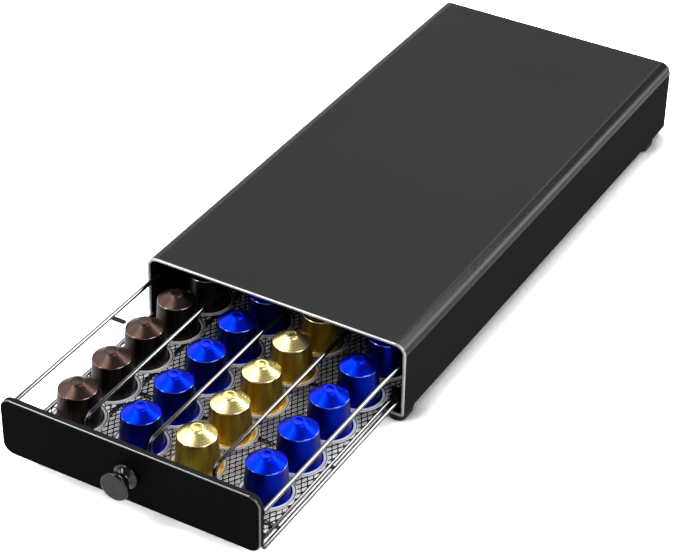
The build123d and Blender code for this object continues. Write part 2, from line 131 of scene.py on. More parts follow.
def vary_colour(tree, shader, factor, colour, spread):
    """The base colour, a little darker and lighter by a factor."""
    darker = [c * (1 - spread) for c in colour]
    lighter = [c * (1 + spread) for c in colour]
    tree.links.new(mix_colours(tree, factor, darker, lighter), shader.inputs["Base Color"])


def vary_roughness(tree, shader, value, low, high, start=0.3, end=0.7):
    """The roughness, from low to high by a value from start to end."""
    tree.links.new(map_range(tree, value, low, high, start, end), shader.inputs["Roughness"])


# ---- materials ---------------------------------------------------------------------------------
# Scales of noise are in features for each metre; a stretch multiplies them along each axis.
COAT_TONE = 9.0
COAT_GRAIN = 1500.0
COAT_PEEL = 420.0
ENAMEL_TONE = 60.0
ENAMEL_RUN = 350.0
RUBBER_GRAIN = 900.0
STEEL_STREAKS = 300.0
STREAK_STRETCH = (1, 12, 1)
FLECK_STRETCH = (60, 2.5, 1)
RING_STRETCH = (2, 150, 1)
RIM_TONE_STRETCH = (30, 8, 1)
RIM_RIBS = 110                  # round one rim
FOIL_CREASES = 260.0


def powder_coat(name, colour, roughness, specular, metallic=0.0):
    """Sprayed and baked coat: even colour, with a fine grain and a shallow orange peel."""
    material, tree, shader = new_material(name)
    shader.inputs["Specular IOR Level"].default_value = specular
    shader.inputs["Metallic"].default_value = metallic
    tone = map_range(tree, noise(tree, COAT_TONE, detail=3), 0, 1)
    vary_colour(tree, shader, tone, colour, 0.05)
    grain = noise(tree, COAT_GRAIN, detail=3)
    vary_roughness(tree, shader, grain, roughness - 0.05, roughness + 0.05)
    peel = bump(tree, shader, noise(tree, COAT_PEEL, detail=1), 0.00008, 0.3)
    bump(tree, shader, grain, 0.00003, 0.4, before=peel)
    return material


def enamel(name, colour, roughness, specular, index):
    """Dipped gloss enamel: nearly smooth, with a faint run of the coat."""
    material, tree, shader = new_material(name)
    shader.inputs["Specular IOR Level"].default_value = specular
    shader.inputs["IOR"].default_value = index
    tone = map_range(tree, noise(tree, ENAMEL_TONE), 0, 1)
    vary_colour(tree, shader, tone, colour, 0.25)
    vary_roughness(tree, shader, tone, roughness * 0.85, roughness * 1.2, 0, 1)
    bump(tree, shader, noise(tree, ENAMEL_RUN, detail=1), 0.00002, 0.05)
    return material


def rubber(name):
    """Matt moulded rubber with a coarse grain."""
    material, tree, shader = new_material(name)
    shader.inputs["Specular IOR Level"].default_value = 0.3
    grain = noise(tree, RUBBER_GRAIN, detail=4)
    vary_colour(tree, shader, grain, (0.014, 0.014, 0.014), 0.4)
    vary_roughness(tree, shader, grain, 0.6, 0.85)
    bump(tree, shader, grain, 0.0001, 0.6)
    return material


def plated_steel(name):
    """Zinc-plated steel with faint streaks."""
    material, tree, shader = new_material(name)
    shader.inputs["Metallic"].default_value = 1.0
    streaks = noise(tree, STEEL_STREAKS, detail=3, stretch=STREAK_STRETCH)
    vary_colour(tree, shader, streaks, (0.51, 0.51, 0.5), 0.18)
    vary_roughness(tree, shader, streaks, 0.25, 0.42)
    bump(tree, shader, streaks, 0.00005, 0.4)
    return material


def turned_aluminium(name, dark, light, roughness, anisotropy):
    """Anodised aluminium drawn on a mandrel: fine rings round the axis and faint radial flecks."""
    material, tree, shader = new_material(name)
    shader.inputs["Metallic"].default_value = 1.0
    shader.inputs["Anisotropic"].default_value = anisotropy
    tangent = tree.nodes.new("ShaderNodeTangent")
    tangent.direction_type = "UV_MAP"
    tree.links.new(tangent.outputs["Tangent"], shader.inputs["Tangent"])
    radial = noise(tree, 1.0, detail=4, stretch=FLECK_STRETCH, coordinates="UV")
    rings = noise(tree, 1.0, stretch=RING_STRETCH, coordinates="UV")
    flecks = map_range(tree, radial, 0, 1)
    tree.links.new(mix_colours(tree, flecks, dark, light), shader.inputs["Base Color"])
    vary_roughness(tree, shader, rings, roughness * 0.93, roughness * 1.08)
    bump(tree, shader, rings, 0.00001, 0.02)
    return material


def rolled_rim(name, dark, light):
    """Bare rim of a capsule: pale lacquered aluminium with fine ribs round it."""
    material, tree, shader = new_material(name)
    shader.inputs["Metallic"].default_value = 0.12
    tone = map_range(tree, noise(tree, 1.0, stretch=RIM_TONE_STRETCH, coordinates="UV"), 0, 1)
    tree.links.new(mix_colours(tree, tone, dark, light), shader.inputs["Base Color"])
    vary_roughness(tree, shader, tone, 0.26, 0.38, 0, 1)
    bump(tree, shader, ridges(tree, RIM_RIBS), 0.00006, 0.5)
    return material


def foil(name):
    """Lacquered foil, a little creased."""
    material, tree, shader = new_material(name)
    shader.inputs["Metallic"].default_value = 0.9
    creases = noise(tree, FOIL_CREASES, detail=4)
    vary_colour(tree, shader, creases, (0.71, 0.71, 0.73), 0.12)
    vary_roughness(tree, shader, creases, 0.25, 0.4)
    bump(tree, shader, creases, 0.0003, 0.5)
    return material


COAT = powder_coat("sleeve_coat", (0.0305, 0.0305, 0.0305), 0.5, 0.015)
# Painted shade: the sleeve's sides and flanges, and the panel's lip, get a darker copy of the
# top's coat.
SIDE_COAT_PAINTED_SHADE = powder_coat("sleeve_side_painted_shade", (0.019, 0.019, 0.0195), 0.5, 0.0)
# Painted shade: the top's long bends get a much darker copy of the coat, for the dark band along
# them; their highlight comes from a lamp.
BEND_COAT_PAINTED_SHADE = powder_coat("sleeve_bend_painted_shade", (0.009, 0.009, 0.009), 0.27, 0.2)
# Painted shade: the inside of the sleeve gets a near-black copy of the coat.
INSIDE_COAT_PAINTED_SHADE = powder_coat("sleeve_inside_painted_shade", (0.004, 0.004, 0.004), 0.5, 0.1)
# Painted highlight: the sleeve's front rounded edge gets a pale, half-metallic coat that shows as
# a bright rim.
EDGE_COAT_PAINTED_HIGHLIGHT = powder_coat("sleeve_edge_painted_highlight", (0.6, 0.6, 0.59), 0.2, 0.5, metallic=0.5)
PANEL_COAT = powder_coat("panel_coat", (0.0045, 0.0045, 0.0045), 0.45, 0.015)
PANEL_EDGE = enamel("panel_edge", (0.006, 0.006, 0.006), 0.12, 1.0, 1.85)
WIRE = enamel("wire_enamel", (0.003, 0.003, 0.003), 0.06, 0.5, 2.0)
MESH_COAT = enamel("mesh_enamel", (0.006, 0.006, 0.006), 0.35, 0.4, 1.45)
KNOB_GLOSS = enamel("knob_gloss", (0.006, 0.006, 0.006), 0.07, 0.6, 1.5)
RUBBER = rubber("foot_rubber")
STEEL = plated_steel("plated_steel")
FOIL = foil("lid_foil")
CAPSULE_CONES = {
    "brown": turned_aluminium("brown_cone", (0.042, 0.024, 0.02), (0.09, 0.055, 0.046), 0.3, 0.5),
    "blue": turned_aluminium("blue_cone", (0.0, 0.012, 0.68), (0.0, 0.026, 1.0), 0.28, 0.6),
    "gold": turned_aluminium("gold_cone", (0.8, 0.64, 0.22), (1.0, 0.88, 0.42), 0.27, 0.6),
}
# Painted shade: the capsules' sides get darker copies of the cones' colours.
CAPSULE_SIDES_PAINTED_SHADE = {
    "brown": turned_aluminium("brown_side_painted_shade", (0.03, 0.018, 0.016), (0.06, 0.04, 0.036), 0.3, 0.2),
    "blue": turned_aluminium("blue_side_painted_shade", (0.0, 0.005, 0.2), (0.0, 0.012, 0.34), 0.33, 0.2),
    "gold": turned_aluminium("gold_side_painted_shade", (0.5, 0.33, 0.03), (0.7, 0.47, 0.06), 0.36, 0.2),
}
# Painted highlight: a lighter, glossier band on each capsule's rolled shoulder, for the bright
# line along it.
CAPSULE_EDGES_PAINTED_HIGHLIGHT = {
    "brown": turned_aluminium("brown_edge_painted_highlight", (0.3, 0.23, 0.21), (0.4, 0.32, 0.3), 0.13, 0.0),
    "blue": turned_aluminium("blue_edge_painted_highlight", (0.12, 0.22, 0.9), (0.2, 0.32, 1.0), 0.13, 0.0),
    "gold": turned_aluminium("gold_edge_painted_highlight", (0.9, 0.8, 0.45), (1.0, 0.92, 0.6), 0.15, 0.0),
}
RIM_METALS = {
    "brown": rolled_rim("rim_silver_brown", (0.8, 0.78, 0.78), (0.96, 0.95, 0.96)),
    "blue": rolled_rim("rim_silver_blue", (0.8, 0.8, 0.88), (0.95, 0.95, 1.0)),
    "gold": rolled_rim("rim_champagne", (0.8, 0.68, 0.56), (0.98, 0.88, 0.76)),
}
# Painted shade: a dark grey band in the groove behind each rim's rolled bead.
RIM_GROOVE_PAINTED_SHADE = powder_coat("rim_groove_painted_shade", (0.06, 0.06, 0.065), 0.5, 0.2)


# ---- mesh helpers ------------------------------------------------------------------------------
NORMAL_WEIGHT = 80
SAME_POINT = 1e-6
NO_LENGTH = 1e-7
CORNER_STEPS = 12
WIRE_SIDES = 20


def finish_piece(name, mesh, materials, body, slot, *nodes, angle=35, weighted=True, choose=None):
    """Link a mesh as a piece that rides a body and stands for nodes.

    Edges sharper than angle, in degrees, stay sharp. With more than one material, choose gives the
    number of a face's own from the face's centre.
    """
    for material in materials:
        mesh.materials.append(material)
    for polygon in mesh.polygons:
        polygon.use_smooth = True
        if choose:
            polygon.material_index = choose(polygon.center)
    mesh.set_sharp_from_angle(angle=math.radians(angle))
    piece = bpy.data.objects.new(name, mesh)
    bpy.context.scene.collection.objects.link(piece)
    if weighted:
        modifier = piece.modifiers.new("weighted", "WEIGHTED_NORMAL")
        modifier.keep_sharp = True
        modifier.weight = NORMAL_WEIGHT
    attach(piece, body)
    if nodes:
        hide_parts(*nodes)
    return piece


def mesh_from(name, verts, faces, merge=True):
    """A mesh whose doubled points are merged and whose normals point outwards."""
    mesh = bpy.data.meshes.new(name)
    mesh.from_pydata([tuple(v) for v in verts], [], faces)
    tidy = bmesh.new()
    tidy.from_mesh(mesh)
    if merge:
        bmesh.ops.remove_doubles(tidy, verts=tidy.verts, dist=SAME_POINT)
    bmesh.ops.recalc_face_normals(tidy, faces=tidy.faces)
    tidy.to_mesh(mesh)
    tidy.free()
    return mesh


def grid_faces(rows, columns, first=0, close_rows=False, close_columns=False):
    """Quads over a grid of points stored row by row."""
    faces = []
    for i in range(rows if close_rows else rows - 1):
        for j in range(columns if close_columns else columns - 1):
            a = first + i * columns + j
            b = first + i * columns + (j + 1) % columns
            c = first + ((i + 1) % rows) * columns + (j + 1) % columns
            d = first + ((i + 1) % rows) * columns + j
            faces.append((a, b, c, d))
    return faces


def loft(name, rings):
    """A mesh through closed rings of as many points each, its two ends filled."""
    columns = len(rings[0])
    verts = [point for ring in rings for point in ring]
    faces = grid_faces(len(rings), columns, close_columns=True)
    faces.append(tuple(range(columns)))
    faces.append(tuple((len(rings) - 1) * columns + i for i in reversed(range(columns))))
    return mesh_from(name, verts, faces)


def arc(centre, radius, start, end, steps):
    """Points on an arc in a plane, angles in degrees."""
    points = []
    for i in range(steps + 1):
        angle = math.radians(start + (end - start) * i / steps)
        points.append((centre[0] + radius * math.cos(angle), centre[1] + radius * math.sin(angle)))
    return points


def bent_path(points, bend, arc_steps=10):
    """Corners joined by runs and tangent arcs of radius bend."""
    points = [Vector(p) for p in points]
    path = [points[0]]
    for before, corner, after in zip(points, points[1:], points[2:]):
        u = (before - corner).normalized()
        v = (after - corner).normalized()
        half = u.angle(v) / 2
        reach = bend / math.tan(half)
        centre = corner + (u + v).normalized() * (bend / math.sin(half))
        start = corner + u * reach - centre
        end = corner + v * reach - centre
        turn = start.angle(end)
        axis = start.cross(end).normalized()
        for i in range(arc_steps + 1):
            path.append(centre + Matrix.Rotation(turn * i / arc_steps, 3, axis) @ start)
    path.append(points[-1])
    return path


def round_ends(path, radius, edge):
    """The path with four rings at each end, and every ring's radius, so that no cut end is sharp.

    The fourth ring keeps the shading of a long straight run level.
    """
    steps = (
        (0.0, radius - edge),
        (0.3 * edge, radius - 0.3 * edge),
        (edge, radius),
        (1.5 * edge, radius),
    )
    ahead = (path[1] - path[0]).normalized()
    back = (path[-2] - path[-1]).normalized()
    head = [path[0] + ahead * along for along, _ in steps]
    tail = [path[-1] + back * along for along, _ in reversed(steps)]
    end_radii = [ring for _, ring in steps]
    return head + path[1:-1] + tail, end_radii + [radius] * (len(path) - 2) + end_radii[::-1]


def tube(path, radii, sides=WIRE_SIDES, closed=False):
    """Vertices and faces of a round tube along a path, with flat ends unless it is closed."""
    verts = []
    count = len(path)
    tangents = []
    for i in range(count):
        ahead = path[(i + 1) % count] if closed or i < count - 1 else path[i]
        behind = path[i - 1] if closed or i > 0 else path[i]
        tangents.append((ahead - behind).normalized())
    side = tangents[0].orthogonal().normalized()
    for i, (point, radius) in enumerate(zip(path, radii)):
        if i:
            side = tangents[i - 1].rotation_difference(tangents[i]) @ side
        other = tangents[i].cross(side)
        for k in range(sides):
            a = 2 * math.pi * k / sides
            verts.append(point + (side * math.cos(a) + other * math.sin(a)) * radius)
    faces = grid_faces(count, sides, close_rows=closed, close_columns=True)
    if not closed:
        faces.append(tuple(reversed(range(sides))))
        faces.append(tuple((count - 1) * sides + k for k in range(sides)))
    return verts, faces


def lathe(profile, steps):
    """A profile of (radius, height) turned about Z, with its UVs as (turn, length)."""
    verts = []
    faces = []
    uvs = []
    lengths = [0.0]
    for a, b in zip(profile, profile[1:]):
        lengths.append(lengths[-1] + math.dist(a, b))
    total = lengths[-1]
    for radius, height in profile:
        for k in range(steps):
            a = 2 * math.pi * k / steps
            verts.append(Vector((radius * math.cos(a), radius * math.sin(a), height)))
    for i in range(len(profile) - 1):
        for k in range(steps):
            corners = [(i, k), (i, k + 1), (i + 1, k + 1), (i + 1, k)]
            faces.append(tuple(row * steps + column % steps for row, column in corners))
            uvs.append([(column / steps, lengths[row] / total) for row, column in corners])
    return verts, faces, uvs


# ---- sleeve ------------------------------------------------------------------------------------
SHEET = 1.2 * MM
TOP_BEND = 8.0 * MM
FLANGE_BEND = 2.6 * MM
HEM_DEPTH = 7.0 * MM
HEM = 1.0 * MM
RIM_ROUNDING = 0.95 * MM
FLANGE_WIDTH = 15.0 * MM
LEAST_BEND = 0.1 * MM
CUT_EDGE = 0.25 * MM            # broken edge of cut sheet
TOP_BEND_STEPS = 14
FLANGE_BEND_STEPS = 6
ROUNDING_STEPS = 6
EDGE_SHARE = 0.97               # of the front rounding that has the pale coat of the painted highlight
OUTER_SHARE = 0.8               # of the sheet's thickness that counts as its outer side
# Zones of the sleeve's faces; the bends, inside and sides get painted shade, the front edge a
# painted highlight.
TOP_ZONE, BEND_ZONE, INSIDE_ZONE, EDGE_ZONE, SIDE_ZONE = range(5)


def sleeve_contour(inset):
    """The folded sheet's path in XZ, from the left flange over the top to the right one."""
    low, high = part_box("housing_shell")
    half = high[0] - inset
    top = high[2] - inset
    bottom = low[2] + inset
    bend = max(TOP_BEND - inset, LEAST_BEND)
    turn = max(FLANGE_BEND - inset, LEAST_BEND)
    right = [(0.0, top)]
    right += arc((half - bend, top - bend), bend, 90, 0, TOP_BEND_STEPS)
    right += arc((half - turn, bottom + turn), turn, 0, -90, FLANGE_BEND_STEPS)
    right += [(high[0] - FLANGE_WIDTH, bottom)]
    left = [(-x, z) for x, z in reversed(right[1:])]
    return left + right


def sleeve_section():
    """(place along Y, inset) round the sheet's own section, with its front edge folded back."""
    low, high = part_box("housing_shell")
    front, rear = low[1], high[1]
    rim = SHEET + HEM
    section = [(rear, CUT_EDGE), (rear - CUT_EDGE, 0.0), (front + RIM_ROUNDING, 0.0)]
    for outward in (True, False):
        for i in range(1, ROUNDING_STEPS + 1):
            a = math.radians(90 * i / ROUNDING_STEPS)
            near = RIM_ROUNDING * (1 - math.sin(a))
            far = RIM_ROUNDING * (1 - math.cos(a))
            section.append((front + near, far) if outward else (front + far, rim - near))
    section += [
        (front + HEM_DEPTH - CUT_EDGE, rim),
        (front + HEM_DEPTH, rim - CUT_EDGE),
        (front + HEM_DEPTH, SHEET),
        (rear - CUT_EDGE, SHEET),
        (rear, SHEET - CUT_EDGE),
    ]
    return section


def sleeve_coat_choice():
    """A function that gives a face's zone; the sides' zone takes in the flanges. All zones but the
    top's get painted shade or a painted highlight.
    """
    low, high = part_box("housing_shell")

    def choose(place):
        if place.y < low[1] + RIM_ROUNDING * EDGE_SHARE:
            return EDGE_ZONE
        across = abs(place.x) - (high[0] - TOP_BEND)
        up = place.z - (high[2] - TOP_BEND)
        in_bend = across > 0 and up > 0
        if in_bend:
            depth = TOP_BEND - math.hypot(across, up)
        else:
            depth = min(high[0] - abs(place.x), high[2] - place.z, place.z - low[2])
        if depth > SHEET * OUTER_SHARE:
            return INSIDE_ZONE
        if in_bend:
            return BEND_ZONE
        return TOP_ZONE if up > 0 else SIDE_ZONE

    return choose


def build_sleeve():
    """The folded sheet: its path in XZ, drawn in by each step of its own section."""
    section = sleeve_section()
    contours = [[(x, y, z) for x, z in sleeve_contour(inset)] for y, inset in section]
    columns = len(contours[0])
    faces = grid_faces(len(section), columns, close_rows=True)
    faces.append(tuple(i * columns for i in range(len(section))))
    faces.append(tuple(i * columns + columns - 1 for i in reversed(range(len(section)))))
    mesh = mesh_from("sleeve", [point for contour in contours for point in contour], faces)
    coats = [COAT, BEND_COAT_PAINTED_SHADE, INSIDE_COAT_PAINTED_SHADE, EDGE_COAT_PAINTED_HIGHLIGHT, SIDE_COAT_PAINTED_SHADE]    # in the order of the zones: painted shade on the bends, inside and sides, a painted highlight on the front edge
    choose = sleeve_coat_choice()
    finish_piece("sleeve", mesh, coats, HOUSING, "sleeve_coat", "housing_shell", choose=choose)


# ---- folded trays: the front panel and the back panel ------------------------------------------
BACK_ROUNDING = 0.5 * MM
BACK_LOW_CORNER = 1.3 * MM
BACK_TOP_CORNER = 6.7 * MM
PANEL_CORNER = 8.0 * MM
PANEL_ROUNDING = 0.8 * MM
FACE_MARGIN = 1.2 * MM          # from a tray's rounding to its flat face


def corner_outline(low, high, low_corner, high_corner, inset):
    """A rectangle in XZ with rounded corners, drawn in by inset."""
    middle = (low[0] + high[0]) / 2
    half_width = (high[0] - low[0]) / 2 - inset
    points = []
    for side, upper, start in ((1, True, 0), (-1, True, 90), (-1, False, 180), (1, False, 270)):
        corner = max((high_corner if upper else low_corner) - inset, LEAST_BEND)
        z = high[2] - inset - corner if upper else low[2] + inset + corner
        centre = (middle + side * (half_width - corner), z)
        points += arc(centre, corner, start, start + 90, CORNER_STEPS)
    return points


def tray_section(face, lip, rounding):
    """(place along Y, inset) from a tray's face round its folded edge and back inside."""
    way = 1 if lip > face else -1
    section = [(face, rounding + FACE_MARGIN)]
    for i in range(ROUNDING_STEPS + 1):
        a = math.radians(90 * i / ROUNDING_STEPS)
        section.append((face + way * rounding * (1 - math.cos(a)), rounding * (1 - math.sin(a))))
    section += [
        (lip - way * CUT_EDGE, 0.0),
        (lip, CUT_EDGE),
        (lip, SHEET - CUT_EDGE),
        (lip - way * CUT_EDGE, SHEET),
        (face + way * (SHEET + CUT_EDGE), SHEET),
        (face + way * SHEET, SHEET + CUT_EDGE),
    ]
    return section


def tray_mesh(name, node, face, lip, corners, rounding):
    """A sheet whose edge is folded back all round, from its face to its lip along Y."""
    low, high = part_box(node)
    rings = []
    for y, inset in tray_section(face, lip, rounding):
        rings.append([(x, y, z) for x, z in corner_outline(low, high, *corners, inset)])
    return loft(name, rings)


def build_panel():
    """The drawer's front, a shallow tray with a rounded edge that catches the light."""
    low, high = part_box("front_panel")

    def coat(place):
        """0 the flat face, 1 its rounded edge, 2 the folded lip."""
        if place.y > low[1] + PANEL_ROUNDING:
            return 2
        across = max(abs(place.x) - (high[0] - PANEL_CORNER), 0)
        above = max(place.z - (high[2] - PANEL_CORNER), 0)
        below = max(low[2] + PANEL_CORNER - place.z, 0)
        edge = PANEL_CORNER - math.hypot(across, max(above, below))
        return 1 if edge < PANEL_ROUNDING else 0

    corners = (PANEL_CORNER, PANEL_CORNER)
    mesh = tray_mesh("panel", "front_panel", low[1], high[1], corners, PANEL_ROUNDING)
    # The lip takes the sleeve sides' darker coat, which paints shade.
    coats = [PANEL_COAT, PANEL_EDGE, SIDE_COAT_PAINTED_SHADE]
    finish_piece("panel", mesh, coats, DRAWER, "panel_coat", "front_panel", choose=coat)


def build_back():
    """The sheet that closes the sleeve at the rear."""
    low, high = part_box("back_panel")
    corners = (BACK_LOW_CORNER, BACK_TOP_CORNER)
    mesh = tray_mesh("back_sheet", "back_panel", high[1], low[1], corners, BACK_ROUNDING)
    finish_piece("back_sheet", mesh, [COAT], HOUSING, "sleeve_coat", "back_panel")


# ---- knob --------------------------------------------------------------------------------------
KNOB_COLLAR = 8.7 * MM
KNOB_NECK = 5.2 * MM
KNOB_DISC_THICKNESS = 3.6 * MM
KNOB_COLLAR_THICKNESS = 2.0 * MM
KNOB_EDGE = 0.5 * MM
KNOB_COLLAR_FOOT = 0.6 * MM
KNOB_COLLAR_TOP = 0.4 * MM
KNOB_WAIST_STEPS = 16
KNOB_WAIST_POWER = 0.75         # under 1, so that the waist stays slim for most of its length
KNOB_FACE_EDGE = ((0.0, 1.1), (0.35, 0.45), (1.1, 0.1), (1.8, 0.0), (4.5, 0.12))
KNOB_DISH = 0.3 * MM
KNOB_STEPS = 64


def knob_profile(disc, length):
    """(radius, distance from the panel) over a spool's collar, waist and disc.

    KNOB_FACE_EDGE is the front edge: millimetres in from the disc's radius and back from its face.
    """
    waist_end = length - KNOB_DISC_THICKNESS
    collar = KNOB_COLLAR - KNOB_COLLAR_TOP
    rim = disc - KNOB_EDGE
    profile = [(0.0, 0.0), (KNOB_COLLAR - KNOB_COLLAR_FOOT, 0.0), (KNOB_COLLAR, KNOB_EDGE)]
    profile += [(KNOB_COLLAR, KNOB_COLLAR_THICKNESS - KNOB_EDGE), (collar, KNOB_COLLAR_THICKNESS)]
    for i in range(1, KNOB_WAIST_STEPS):
        t = i / KNOB_WAIST_STEPS
        dip = math.sin(math.pi * t) ** KNOB_WAIST_POWER
        edge = collar * (1 - t) + rim * t
        along = KNOB_COLLAR_THICKNESS + (waist_end - KNOB_COLLAR_THICKNESS) * t
        profile.append((edge + (KNOB_NECK - edge) * dip, along))
    profile += [(rim, waist_end), (disc, waist_end + KNOB_EDGE)]
    profile += [(disc - inward * MM, length - back * MM) for inward, back in KNOB_FACE_EDGE]
    profile.append((0.0, length - KNOB_DISH))
    return profile


def build_knob():
    """A turned spool; its axis runs forwards from the panel."""
    low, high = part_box("knob")
    verts, faces, _ = lathe(knob_profile((high[0] - low[0]) / 2, high[1] - low[1]), KNOB_STEPS)
    seat = Matrix.Translation(((low[0] + high[0]) / 2, high[1], (low[2] + high[2]) / 2))
    turn = seat @ Matrix.Rotation(math.radians(90), 4, "X")
    mesh = mesh_from("spool_knob", [turn @ v for v in verts], faces)
    finish_piece("spool_knob", mesh, [KNOB_GLOSS], DRAWER, "knob_gloss", "knob", angle=50)


# ---- wires -------------------------------------------------------------------------------------
DIVIDER_BEND = 6.0 * MM
WIRE_END = 0.4 * MM
RIM_WIRE_SIDES = 14
TAB_ROUNDING = 0.3 * MM
TAB_CORNER = 1.6 * MM
TAB_CORNER_STEPS = 6
WELD_RADIUS = 1.25 * MM
WELD_FLATNESS = 0.7
WELD_SIDES = 10
WELD_UNEVEN = (0.85, 1.1)
WELD_RISE = 0.5 * MM            # over the middle of a cross wire
WELD_INSET = 0.4 * MM           # from a cross wire's end
WELD_SEED = 4
WIRE_NODES = [f"cross_wire_{index}" for index in range(1, 7)]
WIRE_NODES += ["base_wire_left", "base_wire_right", "rear_post_left", "rear_post_right"]
WIRE_NODES += ["upper_side_wire_left", "upper_side_wire_right", "upper_rear_wire"]
WIRE_NODES += ["lower_side_wire_left", "lower_side_wire_right", "lower_rear_wire"]


def wire_piece(node, path, radius):
    """A rod along a path that stands for a node."""
    path, radii = round_ends(path, radius, WIRE_END)
    verts, faces = tube(path, radii)
    name = node + "_rod"
    mesh = mesh_from(name, verts, faces)
    finish_piece(name, mesh, [WIRE], DRAWER, "wire", node, angle=50, weighted=False)


def straight_wire(node):
    """A rod that fills its node's box from end to end."""
    low, high = (Vector(corner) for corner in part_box(node))
    size = high - low
    along = max(range(3), key=lambda axis: size[axis])
    start = (low + high) / 2
    end = start.copy()
    start[along] = low[along]
    end[along] = high[along]
    wire_piece(node, [start, end], min(size) / 2)


def divider_wire(node):
    """A wire along the lanes, bent down to the floor at its front end."""
    low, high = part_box(node)
    radius = (high[0] - low[0]) / 2
    x = (high[0] + low[0]) / 2
    front = low[1] + radius
    top = high[2] - radius
    corners = [(x, front, low[2]), (x, front, top), (x, high[1], top)]
    wire_piece(node, bent_path(corners, DIVIDER_BEND), radius)


def rim_wire():
    """The thin wire round the mesh floor's edge."""
    low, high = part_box("mesh_rim")
    radius = (high[2] - low[2]) / 2
    z = (high[2] + low[2]) / 2
    half_width = (high[0] - low[0]) / 2 - radius
    flat_low = (-half_width, 0, low[1] + radius)
    flat_high = (half_width, 0, high[1] - radius)
    corner = MESH_CORNER - radius
    path = [Vector((x, y, z)) for x, y in corner_outline(flat_low, flat_high, corner, corner, 0.0)]
    verts, faces = tube(path, [radius] * len(path), sides=RIM_WIRE_SIDES, closed=True)
    mesh = mesh_from("rim_wire", verts, faces, merge=False)
    finish_piece("rim_wire", mesh, [WIRE], DRAWER, "mesh", "mesh_rim", angle=50, weighted=False)


def build_tab():
    """A short flat tab welded to the inner side of the left upper wire."""
    low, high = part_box("side_tab")
    middle_y = (low[1] + high[1]) / 2
    half_y = (high[1] - low[1]) / 2
    tip = (high[0] - TAB_CORNER, half_y - TAB_CORNER)
    levels = (
        (low[2], TAB_ROUNDING),
        (low[2] + TAB_ROUNDING, 0.0),
        (high[2] - TAB_ROUNDING, 0.0),
        (high[2], TAB_ROUNDING),
    )
    rings = []
    for z, inset in levels:
        corner = TAB_CORNER - inset
        ring = [(low[0] + inset, middle_y - half_y + inset, z)]
        ring += [(x, middle_y - y, z) for x, y in arc(tip, corner, 90, 0, TAB_CORNER_STEPS)]
        ring += [(x, middle_y + y, z) for x, y in arc(tip, corner, 0, 90, TAB_CORNER_STEPS)]
        ring += [(low[0] + inset, middle_y + half_y - inset, z)]
        rings.append(ring)
    finish_piece("left_tab", loft("left_tab", rings), [COAT], DRAWER, "wire", "side_tab", angle=50)


def weld_bead(centre, draw):
    """A small flattened lump of weld, its surface a little uneven."""
    profile = []
    for degrees in range(-90, 91, 30):
        a = math.radians(degrees)
        profile.append((WELD_RADIUS * math.cos(a), WELD_FLATNESS * WELD_RADIUS * math.sin(a)))
    verts, faces, _ = lathe(profile, WELD_SIDES)
    return [centre + v * draw.uniform(*WELD_UNEVEN) for v in verts], faces


def build_welds():
    """Beads where the cross wires and the dividers meet the wires that carry them."""
    draw = random.Random(WELD_SEED)
    places = []
    for index in range(1, 7):
        low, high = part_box(f"cross_wire_{index}")
        y = (low[1] + high[1]) / 2
        z = (low[2] + high[2]) / 2 + WELD_RISE
        places += [(side * (high[0] - WELD_INSET), y, z) for side in (-1, 1)]
    rear_low, rear_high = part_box("upper_rear_wire")
    for index in (1, 2, 3):
        low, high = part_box(f"divider_wire_{index}")
        places.append(((low[0] + high[0]) / 2, rear_low[1], (rear_low[2] + rear_high[2]) / 2))
    verts = []
    faces = []
    for place in places:
        bead_verts, bead_faces = weld_bead(Vector(place), draw)
        first = len(verts)
        verts += bead_verts
        faces += [tuple(first + i for i in face) for face in bead_faces]
    mesh = mesh_from("weld_beads", verts, faces)
    finish_piece("weld_beads", mesh, [WIRE], DRAWER, "wire", angle=80, weighted=False)


def build_wires():
    for node in WIRE_NODES:
        straight_wire(node)
    for index in (1, 2, 3):
        divider_wire(f"divider_wire_{index}")
    rim_wire()
    build_tab()
    build_welds()


# ---- mesh floor --------------------------------------------------------------------------------
STRAND_PITCH = 3.7 * MM
STRAND_ANGLE = 30.0             # from the Y axis, in degrees
STRAND_WIDTH = 0.85 * MM
STRAND_HEIGHT = 0.6 * MM
STRAND_DROP = 0.5               # of a strand's height, from one set of strands to the other
STRAND_SEARCH = 0.25 * MM
STRAND_PROFILE = ((-1, -1), (-1, -0.35), (-0.55, 0), (0.55, 0), (1, -0.35), (1, -1))
MESH_BORDER = 1.6 * MM
MESH_CORNER = 7.0 * MM
BORDER_ROD = 0.6                # radius of the border's rod, as a share of half its width
BORDER_DROP = 0.62              # from the mesh's top to the rod's middle, as the same share
BORDER_SIDES = 12


def in_floor(point, low, high):
    """Whether a point lies in the mesh floor's rectangle, with its rounded corners."""
    across = max(low[0] + MESH_CORNER - point.x, point.x - high[0] + MESH_CORNER, 0)
    along = max(low[1] + MESH_CORNER - point.y, point.y - high[1] + MESH_CORNER, 0)
    return math.hypot(across, along) <= MESH_CORNER - MESH_BORDER / 2


def strand_ends(origin, way, reach, low, high):
    """Where a line through origin enters and leaves the floor."""
    count = int(reach / STRAND_SEARCH)
    along = [origin + way * (i * STRAND_SEARCH) for i in range(-count, count + 1)]
    inside = [point for point in along if in_floor(point, low, high)]
    if len(inside) * STRAND_SEARCH < 2 * STRAND_WIDTH:
        return None
    return inside[0], inside[-1]


